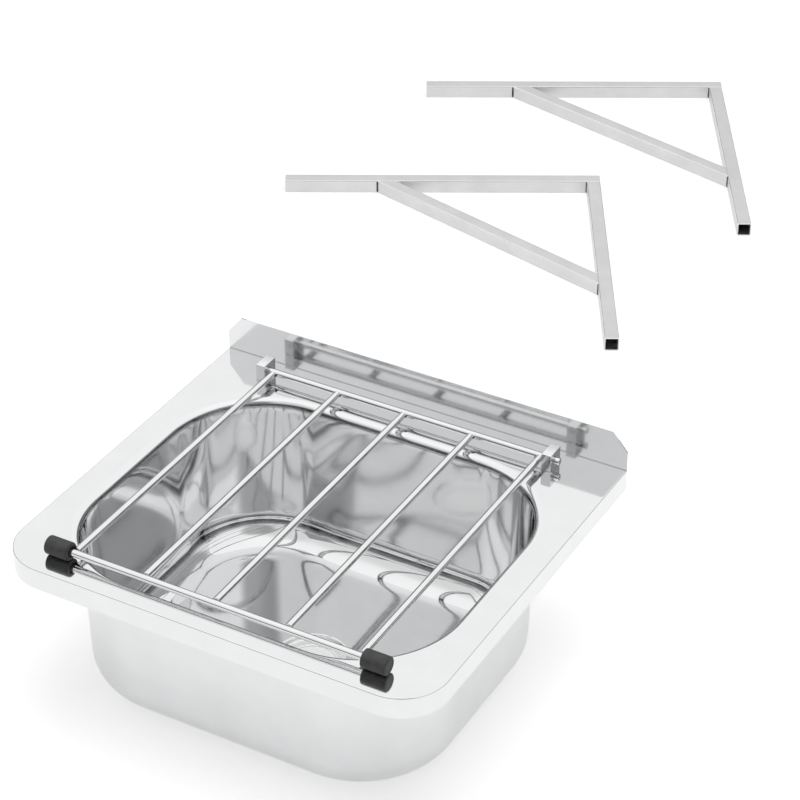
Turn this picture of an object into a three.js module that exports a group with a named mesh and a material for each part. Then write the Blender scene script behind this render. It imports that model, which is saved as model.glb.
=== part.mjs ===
// Mop service sink: a pressed stainless bowl in a folded deck with a low splashback,
// a bucket grate that hinges up on a round bar, and the two square-tube wall brackets
// that carry the deck, lying loose on the floor behind it.
// Millimetres, +Z up. +X is to the right of someone standing in front of the sink and
// +Y points to the wall behind it. The sink stands on the outlet seat under its bowl.
import * as THREE from 'three';

// ---- driving dimensions -----------------------------------------------------------

// sheet metal
const SHEET = 1.2;
const JOIN_GAP = 0.3;              // left between two pieces that are welded or pressed together
const REST_GAP = 0.3;              // left under a piece that only rests on its neighbour

// deck
const DECK_WIDTH = 500;
const DECK_DEPTH = 450;            // front edge to the wall
const DECK_CORNER_RADIUS = 52;
const SKIRT_HEIGHT = 25;           // folded edge, measured from the top of the deck
const SPLASH_HEIGHT = 44;          // above the top of the deck
const SPLASH_CHAMFER_WIDTH = 18;
const SPLASH_CHAMFER_HEIGHT = 21;

// bowl
const FLANGE_FRONT = 20;           // flat of the deck from its edge to where the bowl turns down
const FLANGE_SIDE = 29;
const FLANGE_REAR = 53;
const MOUTH_CORNER_RADIUS = 118;
const LIP_RADIUS = 8;
const WALL_DRAFT_DEG = 1.4;
const FLOOR_RADIUS = 38;
const BOWL_DEPTH = 184;            // top of the deck to the floor of the bowl

// outlet seat pressed into the floor of the bowl
const OUTLET_SEAT_DIAMETER = 81;
const OUTLET_SEAT_DEPTH = 4.5;
const OUTLET_SEAT_EASE = 3;        // width of the slope from the floor down to the seat
const OUTLET_HOLE_DIAMETER = 52;

// bucket grate
const ROD_DIAMETER = 8;
const BAR_COUNT = 5;
const FRONT_ROD_SETBACK = 31.4;    // front edge of the deck to the axis of the front rod
const CAP_DIAMETER = 20;
const CAP_LENGTH = 27.5;
const CAP_SOCKET_DEPTH = 22;
const CAP_COUNTERBORE_DIAMETER = 12;
const CAP_COUNTERBORE_DEPTH = 2;
const CAP_EDGE_RADIUS = 3;

// hinge
const HINGE_SETBACK = 34.3;        // wall to the axis of the hinge rod
const HINGE_INSET = 48.3;          // side of the bowl's mouth to the inner face of a block
const HINGE_SHIFT = -3.6;          // both blocks sideways from there, positive to the right
const HINGE_BLOCK_WIDTH = 11.3;
const HINGE_BLOCK_FRONT = 9;       // axis to the front face of a block
const HINGE_BLOCK_REAR = 14;       // axis to its rear face
const HINGE_BLOCK_ABOVE_BORE = 5.3;
const HINGE_CLEARANCE = 0.5;       // around the rod in its bore
const HINGE_ROD_RECESS = 2.25;     // left end, inside the left block's outer face
const HINGE_ROD_PROUD = 6.6;       // right end, past the right block's outer face
const BAR_TO_BLOCK = 2.1;          // side play of the grate when it's midway between the blocks
const GRATE_SLIDE = 1.6;           // how far to the right of midway it stands

// wall brackets
const TUBE_SIZE = 19;
const TUBE_WALL = 1.5;
const TUBE_CORNER_RADIUS = 1.6;
const BRACKET_ARM_LENGTH = 444;
const BRACKET_LEG_LENGTH = 432;    // outer corner to the open end
const BRACE_ON_ARM = 295;          // inner corner to the far edge of the brace, along the arm
const BRACE_ON_LEG = 278;          // the same along the leg

// how the loose brackets lie behind the sink
const BRACKET_YAW_DEG = 29;
const BRACKET_SETBACK = 862;       // wall to the outer corner of the nearer bracket
const BRACKET_SIDE = -188;         // centre of the deck to that corner
const BRACKET_STEP_SIDE = 200;     // from one bracket to the next, along its arm
const BRACKET_STEP_BACK = 295;     // and square to its arm

// smoothness
const CORNER_SEGMENTS = 12;
const LIP_SEGMENTS = 4;
const FLOOR_SEGMENTS = 6;
const ROD_SEGMENTS = 16;
const CAP_SEGMENTS = 32;
const BORE_SEGMENTS = 24;
const TUBE_SEGMENTS = 3;

// ---- derived dimensions -----------------------------------------------------------

const rad = THREE.MathUtils.degToRad;

const deckTop = BOWL_DEPTH + SHEET + OUTLET_SEAT_DEPTH;
const splashFront = DECK_DEPTH - SHEET;
const mouth = {
  left: FLANGE_SIDE - DECK_WIDTH / 2,
  right: DECK_WIDTH / 2 - FLANGE_SIDE,
  front: FLANGE_FRONT,
  back: DECK_DEPTH - FLANGE_REAR,
};
const bowlCentreY = (mouth.front + mouth.back) / 2;

const rodRadius = ROD_DIAMETER / 2;
const capRadius = CAP_DIAMETER / 2;
const grateHeight = deckTop + REST_GAP + capRadius;
const frontRodY = FRONT_ROD_SETBACK;
const hingeY = DECK_DEPTH - HINGE_SETBACK;
const blockInner = mouth.right - HINGE_INSET;
const outerBarX = blockInner - BAR_TO_BLOCK - rodRadius;
const grateX = HINGE_SHIFT + GRATE_SLIDE;
const barPitch = 2 * outerBarX / (BAR_COUNT - 1);
const capInner = outerBarX + rodRadius + JOIN_GAP;
const boreRadius = rodRadius + HINGE_CLEARANCE;

// ---- materials --------------------------------------------------------------------

const polishedSteel = new THREE.MeshStandardMaterial({ color: 0xd4d6d8, roughness: 0.06, metalness: 1 });
const rodSteel = new THREE.MeshStandardMaterial({ color: 0xdcdddf, roughness: 0.14, metalness: 1 });
const satinSteel = new THREE.MeshStandardMaterial({ color: 0xc9cbcc, roughness: 0.38, metalness: 1 });
const blackRubber = new THREE.MeshStandardMaterial({ color: 0x2b2b2d, roughness: 0.75, metalness: 0 });

// ---- helpers ----------------------------------------------------------------------

const group = new THREE.Group();

function addPiece(name, geometry, material, parent = group) {
  const mesh = new THREE.Mesh(geometry, material);
  mesh.name = name;
  parent.add(mesh);
  return mesh;
}

// Turns a solid extruded along its own Z so that the extrusion runs along +X and the
// outline's two axes become Y and Z.
function alongX(geometry) {
  const basis = new THREE.Matrix4().makeBasis(
    new THREE.Vector3(0, 1, 0), new THREE.Vector3(0, 0, 1), new THREE.Vector3(1, 0, 0));
  return geometry.applyMatrix4(basis);
}

// The same for an extrusion along -Y, with the outline's axes as X and Z.
function alongMinusY(geometry) {
  return geometry.rotateX(Math.PI / 2);
}

function extrude(shape, depth) {
  return new THREE.ExtrudeGeometry(shape, { depth, bevelEnabled: false });
}

function outline(corners) {
  return new THREE.Shape(corners.map(([x, y]) => new THREE.Vector2(x, y)));
}

// Points on an arc from one angle to another, in degrees, both ends included.
function arc(x, y, radius, from, to, segments = CORNER_SEGMENTS) {
  return Array.from({ length: segments + 1 }, (_, i) => {
    const angle = rad(from + (to - from) * i / segments);
    return new THREE.Vector2(x + radius * Math.cos(angle), y + radius * Math.sin(angle));
  });
}

// A rounded rectangle as a closed ring of points, anticlockwise seen from above.
function roundedRing(left, right, front, back, radius, segments = CORNER_SEGMENTS) {
  return [
    ...arc(right - radius, front + radius, radius, -90, 0, segments),
    ...arc(right - radius, back - radius, radius, 0, 90, segments),
    ...arc(left + radius, back - radius, radius, 90, 180, segments),
    ...arc(left + radius, front + radius, radius, 180, 270, segments),
  ];
}

// A circle with as many points as a rounded ring, a quarter of them facing each corner.
function circleRing(x, y, radius) {
  const count = 4 * (CORNER_SEGMENTS + 1);
  const points = [];
  for (let i = 0; i < count; i += 1) {
    const angle = 2 * Math.PI * (i + 0.5) / count - Math.PI / 2;
    points.push(new THREE.Vector2(x + radius * Math.cos(angle), y + radius * Math.sin(angle)));
  }
  return points;
}

// Skins a list of rings, each { points, z }, in order, and joins the last to the first.
// Rings that go down are the outside of the solid and rings that go up the inside.
function skinLoop(rings) {
  const count = rings[0].points.length;
  const positions = [];
  const triangles = [];
  rings.forEach(ring => ring.points.forEach(p => positions.push(p.x, p.y, ring.z)));
  rings.forEach((_, r) => {
    const a = r * count;
    const b = ((r + 1) % rings.length) * count;
    for (let i = 0; i < count; i += 1) {
      const j = (i + 1) % count;
      triangles.push(a + i, b + i, a + j, a + j, b + i, b + j);
    }
  });
  const geometry = new THREE.BufferGeometry();
  geometry.setAttribute('position', new THREE.Float32BufferAttribute(positions, 3));
  geometry.setIndex(triangles);
  geometry.computeVertexNormals();
  return geometry;
}

// ---- deck -------------------------------------------------------------------------

// The deck's edge moved inwards by `inset`: from the back left, round the front, to the
// back right.
function deckEdge(inset, back) {
  const side = DECK_WIDTH / 2 - inset;
  const radius = DECK_CORNER_RADIUS - inset;
  const centre = DECK_WIDTH / 2 - DECK_CORNER_RADIUS;
  return [
    new THREE.Vector2(-side, back),
    ...arc(-centre, DECK_CORNER_RADIUS, radius, 180, 270),
    ...arc(centre, DECK_CORNER_RADIUS, radius, 270, 360),
    new THREE.Vector2(side, back),
  ];
}

function mouthRing(inset) {
  return roundedRing(mouth.left + inset, mouth.right - inset,
    mouth.front + inset, mouth.back - inset, MOUTH_CORNER_RADIUS - inset);
}

function makeDeckTop() {
  const shape = new THREE.Shape(deckEdge(0, splashFront - JOIN_GAP));
  shape.holes.push(new THREE.Path(mouthRing(-JOIN_GAP)));
  return extrude(shape, SHEET).translate(0, 0, deckTop - SHEET);
}

function makeDeckSkirt() {
  const back = splashFront - JOIN_GAP;
  const shape = new THREE.Shape([...deckEdge(0, back), ...deckEdge(SHEET, back).reverse()]);
  return extrude(shape, SKIRT_HEIGHT - SHEET - JOIN_GAP).translate(0, 0, deckTop - SKIRT_HEIGHT);
}

function makeSplashback() {
  const side = DECK_WIDTH / 2;
  const shoulder = SPLASH_HEIGHT - SPLASH_CHAMFER_HEIGHT;
  const shape = outline([
    [-side, -SHEET], [side, -SHEET], [side, shoulder],
    [side - SPLASH_CHAMFER_WIDTH, SPLASH_HEIGHT], [SPLASH_CHAMFER_WIDTH - side, SPLASH_HEIGHT],
    [-side, shoulder],
  ]);
  return alongMinusY(extrude(shape, SHEET)).translate(0, DECK_DEPTH, deckTop);
}

// ---- bowl -------------------------------------------------------------------------

// The inside of the bowl as a profile: how far in from the mouth, how far below the
// deck, and the direction in which the surface looks (0 up, 90 degrees inwards).
function bowlProfile() {
  const steepest = 90 - WALL_DRAFT_DEG;
  const points = [];
  for (let i = 0; i <= LIP_SEGMENTS; i += 1) {
    const angle = rad(steepest * i / LIP_SEGMENTS);
    points.push({
      inset: LIP_RADIUS * Math.sin(angle),
      drop: LIP_RADIUS * (1 - Math.cos(angle)),
      angle,
    });
  }
  const lip = points[points.length - 1];
  const wallEnd = BOWL_DEPTH - FLOOR_RADIUS * (1 - Math.cos(lip.angle));
  const wallInset = lip.inset + (wallEnd - lip.drop) * Math.tan(rad(WALL_DRAFT_DEG));
  for (let i = 0; i <= FLOOR_SEGMENTS; i += 1) {
    const angle = lip.angle * (1 - i / FLOOR_SEGMENTS);
    points.push({
      inset: wallInset + FLOOR_RADIUS * (Math.sin(lip.angle) - Math.sin(angle)),
      drop: BOWL_DEPTH - FLOOR_RADIUS * (1 - Math.cos(angle)),
      angle,
    });
  }
  return points;
}

function makeBowl() {
  const seat = OUTLET_SEAT_DIAMETER / 2;
  const outlet = (radius, drop) => ({
    points: circleRing(0, bowlCentreY, radius),
    z: deckTop - drop,
  });
  const inside = bowlProfile().map(p => ({ points: mouthRing(p.inset), z: deckTop - p.drop }));
  const outside = bowlProfile().map(p => ({
    points: mouthRing(p.inset - SHEET * Math.sin(p.angle)),
    z: deckTop - p.drop - SHEET * Math.cos(p.angle),
  }));
  return skinLoop([
    ...outside,
    outlet(seat, BOWL_DEPTH + SHEET),
    outlet(seat - OUTLET_SEAT_EASE, BOWL_DEPTH + SHEET + OUTLET_SEAT_DEPTH),
    outlet(OUTLET_HOLE_DIAMETER / 2, BOWL_DEPTH + SHEET + OUTLET_SEAT_DEPTH),
    outlet(OUTLET_HOLE_DIAMETER / 2, BOWL_DEPTH + OUTLET_SEAT_DEPTH),
    outlet(seat - OUTLET_SEAT_EASE, BOWL_DEPTH + OUTLET_SEAT_DEPTH),
    outlet(seat, BOWL_DEPTH),
    ...inside.reverse(),
  ]);
}

// ---- hinge and grate --------------------------------------------------------------

function makeHingeBlock() {
  const bottom = deckTop + JOIN_GAP - grateHeight;
  const top = boreRadius + HINGE_BLOCK_ABOVE_BORE;
  const shape = outline([
    [-HINGE_BLOCK_FRONT, bottom], [HINGE_BLOCK_REAR, bottom],
    [HINGE_BLOCK_REAR, top], [-HINGE_BLOCK_FRONT, top],
  ]);
  shape.holes.push(new THREE.Path(arc(0, 0, boreRadius, 360, 360 / BORE_SEGMENTS, BORE_SEGMENTS - 1)));
  return alongX(extrude(shape, HINGE_BLOCK_WIDTH))
    .translate(HINGE_SHIFT, hingeY, grateHeight);
}

function makeCrossRod(from, to, y) {
  return new THREE.CylinderGeometry(rodRadius, rodRadius, to - from, ROD_SEGMENTS)
    .rotateZ(Math.PI / 2)
    .translate((from + to) / 2, y, grateHeight);
}

function makeBar(index) {
  const front = frontRodY + rodRadius + JOIN_GAP;
  const back = hingeY - rodRadius - JOIN_GAP;
  return new THREE.CylinderGeometry(rodRadius, rodRadius, back - front, ROD_SEGMENTS)
    .translate(grateX - outerBarX + index * barPitch, (front + back) / 2, grateHeight);
}

// A push-on rubber cap, open towards the grate, as a profile turned about its axis.
function makeCap(side) {
  const bore = rodRadius + JOIN_GAP;
  const counterbore = CAP_COUNTERBORE_DIAMETER / 2;
  const socket = CAP_SOCKET_DEPTH;
  const profile = [
    [0, socket], [bore, socket], [bore, CAP_COUNTERBORE_DEPTH],
    [counterbore, CAP_COUNTERBORE_DEPTH], [counterbore, 0],
    [capRadius - 1, 0], [capRadius, 1], [capRadius, CAP_LENGTH - CAP_EDGE_RADIUS],
    [capRadius - 0.3 * CAP_EDGE_RADIUS, CAP_LENGTH - 0.3 * CAP_EDGE_RADIUS],
    [capRadius - CAP_EDGE_RADIUS, CAP_LENGTH], [0, CAP_LENGTH],
  ].map(([r, h]) => new THREE.Vector2(r, h));
  return new THREE.LatheGeometry(profile, CAP_SEGMENTS)
    .rotateZ(-side * Math.PI / 2)
    .translate(grateX + side * capInner, frontRodY, grateHeight);
}

// ---- wall brackets ----------------------------------------------------------------

function tubeOutline() {
  const square = (half, radius) => roundedRing(-half, half, -half, half, radius, TUBE_SEGMENTS);
  const shape = new THREE.Shape(square(TUBE_SIZE / 2, TUBE_CORNER_RADIUS));
  shape.holes.push(new THREE.Path(square(TUBE_SIZE / 2 - TUBE_WALL, TUBE_CORNER_RADIUS / 2)));
  return shape;
}

// A tube from the origin along +X, lying on the floor, with ends cut at the given
// slopes: how far an end leans along X for each millimetre in Y.
function makeTube(length, startSlope = 0, endSlope = 0) {
  const geometry = alongX(extrude(tubeOutline(), length));
  const position = geometry.getAttribute('position');
  for (let i = 0; i < position.count; i += 1) {
    const slope = position.getX(i) > length / 2 ? endSlope : startSlope;
    position.setX(i, position.getX(i) + slope * position.getY(i));
  }
  geometry.computeVertexNormals();
  return geometry.translate(0, 0, TUBE_SIZE / 2);
}

// One bracket in its own frame: outer corner at the origin, arm along -X, leg along -Y.
function makeBracket(name) {
  const bracket = new THREE.Group();
  const half = TUBE_SIZE / 2;
  const arm = makeTube(BRACKET_ARM_LENGTH).translate(-BRACKET_ARM_LENGTH, -half, 0);
  addPiece(`${name}_arm`, arm, satinSteel, bracket);

  const legLength = BRACKET_LEG_LENGTH - TUBE_SIZE - JOIN_GAP;
  const leg = makeTube(legLength)
    .rotateZ(-Math.PI / 2)
    .translate(-half, -TUBE_SIZE - JOIN_GAP, 0);
  addPiece(`${name}_leg`, leg, satinSteel, bracket);

  // the brace's outer edge runs from BRACE_ON_ARM on the arm to BRACE_ON_LEG on the leg
  const run = Math.hypot(BRACE_ON_ARM, BRACE_ON_LEG);
  const cos = BRACE_ON_ARM / run;
  const sin = BRACE_ON_LEG / run;
  const middleOnArm = BRACE_ON_ARM - half / sin;
  const middleOnLeg = BRACE_ON_LEG - half / cos;
  const armGap = JOIN_GAP / sin;
  const legGap = JOIN_GAP / cos;
  const braceLength = Math.hypot(middleOnArm, middleOnLeg) - armGap - legGap;
  const brace = makeTube(braceLength, cos / sin, -sin / cos)
    .translate(armGap, 0, 0)
    .rotateZ(-Math.atan2(sin, cos))
    .translate(-TUBE_SIZE - middleOnArm, -TUBE_SIZE, 0);
  addPiece(`${name}_brace`, brace, satinSteel, bracket);
  return bracket;
}

// ---- assembly ---------------------------------------------------------------------

addPiece('deck_top', makeDeckTop(), polishedSteel);
addPiece('deck_skirt', makeDeckSkirt(), polishedSteel);
addPiece('splashback', makeSplashback(), polishedSteel);
addPiece('bowl', makeBowl(), polishedSteel);

addPiece('hinge_block_left', makeHingeBlock().translate(-blockInner - HINGE_BLOCK_WIDTH, 0, 0), polishedSteel);
addPiece('hinge_block_right', makeHingeBlock().translate(blockInner, 0, 0), polishedSteel);

const blockOuter = blockInner + HINGE_BLOCK_WIDTH;
const hingeRodLeft = HINGE_SHIFT - blockOuter + HINGE_ROD_RECESS;
const hingeRodRight = HINGE_SHIFT + blockOuter + HINGE_ROD_PROUD;
addPiece('grate_hinge_rod', makeCrossRod(hingeRodLeft, hingeRodRight, hingeY), rodSteel);

const rodEnd = capInner + CAP_SOCKET_DEPTH - JOIN_GAP;
addPiece('grate_front_rod', makeCrossRod(grateX - rodEnd, grateX + rodEnd, frontRodY), rodSteel);
for (let i = 0; i < BAR_COUNT; i += 1) {
  addPiece(`grate_bar_${i + 1}`, makeBar(i), rodSteel);
}
addPiece('grate_cap_left', makeCap(-1), blackRubber);
addPiece('grate_cap_right', makeCap(1), blackRubber);

['bracket_near', 'bracket_far'].forEach((name, index) => {
  const bracket = makeBracket(name);
  const yaw = rad(BRACKET_YAW_DEG);
  const step = new THREE.Vector3(BRACKET_STEP_SIDE, BRACKET_STEP_BACK, 0)
    .multiplyScalar(index)
    .applyAxisAngle(new THREE.Vector3(0, 0, 1), yaw);
  bracket.rotation.z = yaw;
  bracket.position.set(BRACKET_SIDE, DECK_DEPTH + BRACKET_SETBACK, 0).add(step);
  group.add(bracket);
});

// The origin is on the floor, in the middle of the ground that the whole set covers.
const extent = new THREE.Box3().setFromObject(group, true);
const middle = extent.getCenter(new THREE.Vector3());
group.children.forEach(child => {
  child.position.x -= middle.x;
  child.position.y -= middle.y;
});

export default group;
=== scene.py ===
# %% [markdown]
# # A mop service sink, dressed piece by piece
#
# The sink is pressed from mirror-polished stainless sheet. A grate of round bars lies over
# its bowl on two rubber caps and hinges up on a rod in two blocks. Two wall brackets of
# satin square tube lie loose on the floor behind it.
#
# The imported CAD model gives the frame: places and outer sizes are read from its boxes, and
# finer sizes, such as bends, are the CAD source's own. This file makes the surfaces that a
# camera sees, as grids of points worked out by numpy.

# %% Load the fixed frame
import math

import bmesh
import bpy
import numpy as np

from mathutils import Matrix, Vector


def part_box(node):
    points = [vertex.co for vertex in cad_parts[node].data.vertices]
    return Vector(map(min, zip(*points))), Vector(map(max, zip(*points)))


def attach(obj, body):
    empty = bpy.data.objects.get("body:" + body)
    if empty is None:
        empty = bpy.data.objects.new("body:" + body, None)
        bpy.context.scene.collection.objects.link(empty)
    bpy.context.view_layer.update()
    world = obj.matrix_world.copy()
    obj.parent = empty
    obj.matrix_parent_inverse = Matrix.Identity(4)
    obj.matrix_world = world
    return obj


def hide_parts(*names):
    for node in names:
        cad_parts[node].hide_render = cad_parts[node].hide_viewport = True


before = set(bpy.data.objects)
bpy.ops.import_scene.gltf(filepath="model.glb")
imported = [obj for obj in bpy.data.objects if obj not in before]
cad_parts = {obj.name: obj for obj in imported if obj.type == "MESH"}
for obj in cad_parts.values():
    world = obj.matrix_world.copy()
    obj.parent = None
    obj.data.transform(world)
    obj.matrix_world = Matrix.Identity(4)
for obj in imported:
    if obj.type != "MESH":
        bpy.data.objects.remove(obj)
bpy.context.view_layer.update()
scene = bpy.context.scene

# %% [markdown]
# Lengths below are in millimetres in the sink's own frame: x from the middle of the deck,
# y from its front edge towards the wall and z from the top of the deck. One function
# turns them into metres in the scene, so no object is ever moved or scaled.

# %% Where the sink stands
deck_lo, deck_hi = (np.array(corner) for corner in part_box("deck_top"))
splash_hi = np.array(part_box("splashback")[1])
SINK_ORIGIN = np.array([(deck_lo[0] + deck_hi[0]) / 2, deck_lo[1], deck_hi[2]])

MM = 1000
SHEET = 1.2
HALF_WIDTH = (deck_hi[0] - deck_lo[0]) / 2 * MM
WALL = (splash_hi[1] - SINK_ORIGIN[1]) * MM
SPLASH_TOP = (splash_hi[2] - SINK_ORIGIN[2]) * MM
FLOOR_DROP = SINK_ORIGIN[2] * MM


def to_scene(points):
    """Sink millimetres to scene metres: divide by a thousand and add the sink's origin."""
    return np.asarray(points) / MM + SINK_ORIGIN


def sink_box(node):
    """The low and high corner of a CAD node, in sink millimetres."""
    return tuple((np.array(corner) - SINK_ORIGIN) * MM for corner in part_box(node))


print("deck", round(2 * HALF_WIDTH), "x", round(WALL), "mm,", round(FLOOR_DROP, 1), "mm high")

# %% [markdown]
# Every piece here is a skin over one or more grids: rows of points, each row the same
# length. Rows are joined to their neighbours, and a row may close on itself, as round a
# tube. The UV map holds real metres along and across the grid, so grain keeps its size.

# %% One grid of points
def patch(grid, ring=True, loop=False, caps=False):
    """Points, faces and UVs of a grid of rows x columns x 3, in sink millimetres.

    ring closes each row on itself, loop joins the last row to the first, and caps fills
    the first and last row. Each face takes the corners (r, c), (r, c+1), (r+1, c+1),
    (r+1, c), and the UV is the distance walked along the row and down the columns.
    """
    grid = np.asarray(grid, dtype=float)
    rows, columns = grid.shape[:2]
    r, c = np.meshgrid(
        np.arange(rows if loop else rows - 1), np.arange(columns if ring else columns - 1),
        indexing="ij")
    r2, c2 = (r + 1) % rows, (c + 1) % columns
    quads = [row * columns + column for row, column in ((r, c), (r, c2), (r2, c2), (r2, c))]
    faces = np.stack(quads, axis=-1).reshape(-1, 4).tolist()
    across = np.linalg.norm(np.diff(grid, axis=1, append=grid[:, :1]), axis=2).max(axis=0)
    down = np.linalg.norm(np.diff(grid, axis=0, append=grid[:1]), axis=2).mean(axis=1)
    u = np.concatenate([[0], np.cumsum(across)]) / MM
    v = np.concatenate([[0], np.cumsum(down)]) / MM
    corners = [(u[c], v[r]), (u[c + 1], v[r]), (u[c + 1], v[r + 1]), (u[c], v[r + 1])]
    uv = np.stack([value for corner in corners for value in corner], axis=-1).reshape(-1, 2)
    if caps:
        first, last = np.arange(columns)[::-1], np.arange(columns) + (rows - 1) * columns
        faces += [first.tolist(), last.tolist()]
        ends = grid.reshape(-1, 3)[np.concatenate([first, last])] / MM
        uv = np.concatenate([uv, ends[:, 1:]])
    return grid.reshape(-1, 3), faces, uv


# %% One mesh from its grids
MERGE_WITHIN = 0.00002
SHARP_ANGLE = math.radians(38)


def make_piece(name, *patches, merge=False):
    """Join patches into one mesh object, shaded smooth but for edges over SHARP_ANGLE.

    merge welds the borders that the patches share, within MERGE_WITHIN metres.
    """
    points, faces, uv, count = [], [], [], 0
    for patch_points, patch_faces, patch_uv in patches:
        faces += [[index + count for index in face] for face in patch_faces]
        points.append(patch_points)
        uv.append(patch_uv)
        count += len(patch_points)
    mesh = bpy.data.meshes.new(name)
    mesh.from_pydata(to_scene(np.concatenate(points)).tolist(), [], faces)
    layer = mesh.uv_layers.new(name="metres")
    layer.data.foreach_set("uv", np.concatenate(uv).astype(np.float32).ravel())
    if merge:
        welded = bmesh.new()
        welded.from_mesh(mesh)
        bmesh.ops.remove_doubles(welded, verts=welded.verts, dist=MERGE_WITHIN)
        welded.to_mesh(mesh)
        welded.free()
    piece = bpy.data.objects.new(name, mesh)
    scene.collection.objects.link(piece)
    mesh.shade_smooth()
    mesh.set_sharp_from_angle(angle=SHARP_ANGLE)
    return piece


def settle(piece):
    """Replace a piece's mesh by what its modifiers make of it."""
    evaluated = piece.evaluated_get(bpy.context.evaluated_depsgraph_get())
    mesh = bpy.data.meshes.new_from_object(evaluated)
    piece.modifiers.clear()
    piece.data = mesh
    return piece


# %% Round the hard edges of a piece
HARD_ANGLE = math.radians(50)
ROUNDING = {"sheet": 0.25, "tube": 0.3, "block": 0.45}


def weigh_edges(piece, spared):
    """Bevel weight 1 on every edge over HARD_ANGLE, or a sharp mark where spared.

    spared takes the middle of an edge, in sink millimetres, and says whether to leave it.
    """
    shape = bmesh.new()
    shape.from_mesh(piece.data)
    weight = shape.edges.layers.float.new("bevel_weight_edge")
    for edge in shape.edges:
        if edge.calc_face_angle(0) > HARD_ANGLE:
            middle = (np.array((edge.verts[0].co + edge.verts[1].co) / 2) - SINK_ORIGIN) * MM
            leave = spared(middle)
            edge[weight] = 0.0 if leave else 1.0
            edge.smooth = not leave
    shape.to_mesh(piece.data)
    shape.free()


def round_edges(piece, width, spared=lambda middle: False):
    """Round the hard edges of a piece with a narrow bevel, width in millimetres.

    A Weighted Normal modifier then lets the big faces win where they meet the bevel's
    small ones, so a flat side mirrors as a flat one and only its edges catch the light.
    """
    weigh_edges(piece, spared)
    bevel = piece.modifiers.new("edge rounding", "BEVEL")
    bevel.width = width / MM
    bevel.segments = 2
    bevel.limit_method = "WEIGHT"
    flat = piece.modifiers.new("flat sides", "WEIGHTED_NORMAL")
    flat.keep_sharp = True
    return settle(piece)


# %% [markdown]
# Each piece then gets its finish, is hung on the body it rides on and hides the CAD nodes
# it stands for. One function does all of it, so no step is forgotten.

# %% Dress a piece
def dress(piece, body, material, stands_for=()):
    """Give a piece its material and its place in the model."""
    piece.data.materials.clear()
    piece.data.materials.append(material)
    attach(piece, body)
    if stands_for:
        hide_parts(*stands_for)
    print(piece.name, len(piece.data.polygons), "faces")


# %% [markdown]
# ## Shader groups
#
# Polished sheet is never quite flat. The press leaves slow waves that bend every
# reflection, and the polishing wheel leaves a haze of very fine lines. Both are node
# groups with named inputs, so each finish sets its own amounts.

# %% Helpers for shader groups
FLOAT = "NodeSocketFloat"


def new_group(name, inputs, outputs):
    """A shader node group with float inputs (name, default) and the named outputs."""
    group = bpy.data.node_groups.new(name, "ShaderNodeTree")
    for label, default in inputs:
        socket = group.interface.new_socket(name=label, in_out="INPUT", socket_type=FLOAT)
        socket.default_value = default
    for label in outputs:
        group.interface.new_socket(name=label, in_out="OUTPUT", socket_type=FLOAT)
    return group, group.nodes.new("NodeGroupInput"), group.nodes.new("NodeGroupOutput")


def feed(tree, value, target):
    """Give an input its value: a link where the value is a socket, else the value itself."""
    if isinstance(value, bpy.types.NodeSocket):
        tree.links.new(value, target)
    else:
        target.default_value = value


def math_node(tree, operation, a, b):
    """One Math node; a and b are sockets or numbers."""
    node = tree.nodes.new("ShaderNodeMath")
    node.operation = operation
    feed(tree, a, node.inputs[0])
    feed(tree, b, node.inputs[1])
    return node.outputs[0]


def coordinates(tree, kind):
    """Where the shaded point is: in Object space, on the UV map or as Generated."""
    return tree.nodes.new("ShaderNodeTexCoord").outputs[kind]


def split_node(tree, vector):
    """The x, y and z of a vector, as three sockets."""
    node = tree.nodes.new("ShaderNodeSeparateXYZ")
    feed(tree, vector, node.inputs[0])
    return node.outputs


def noise_node(tree, vector, scale, detail=2.0, roughness=0.5):
    """A 3D noise texture read at the given vector; scale is a number or a socket."""
    node = tree.nodes.new("ShaderNodeTexNoise")
    feed(tree, vector, node.inputs["Vector"])
    feed(tree, scale, node.inputs["Scale"])
    node.inputs["Detail"].default_value = detail
    node.inputs["Roughness"].default_value = roughness
    return node.outputs["Fac"]


# %% Group: slow waves in pressed sheet
DRAWN = (1.0, 1.0, 0.25)
FINER, FINER_SHARE = 3.0, 0.06


def make_sheet_waves():
    """Height = broad noise + a little of a noise three times as fine, on Object coordinates.

    A Mapping node squeezes z, so that on upright walls the waves run up and down, the way
    the sheet was drawn.
    """
    group, given, result = new_group("sheet waves", [("Waves per metre", 9.0)], ["Height"])
    drawn = group.nodes.new("ShaderNodeMapping")
    drawn.inputs["Scale"].default_value = DRAWN
    feed(group, coordinates(group, "Object"), drawn.inputs["Vector"])
    place, waves = drawn.outputs["Vector"], given.outputs[0]
    broad = noise_node(group, place, waves, detail=1.0)
    finer = noise_node(group, place, math_node(group, "MULTIPLY", waves, FINER), detail=1.0)
    total = math_node(group, "ADD", broad, math_node(group, "MULTIPLY", finer, FINER_SHARE))
    feed(group, total, result.inputs["Height"])
    return group


SHEET_WAVES = make_sheet_waves()


# %% Group: fine lines left by polishing or drawing
PATCHES_PER_METRE = 28.0


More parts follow.
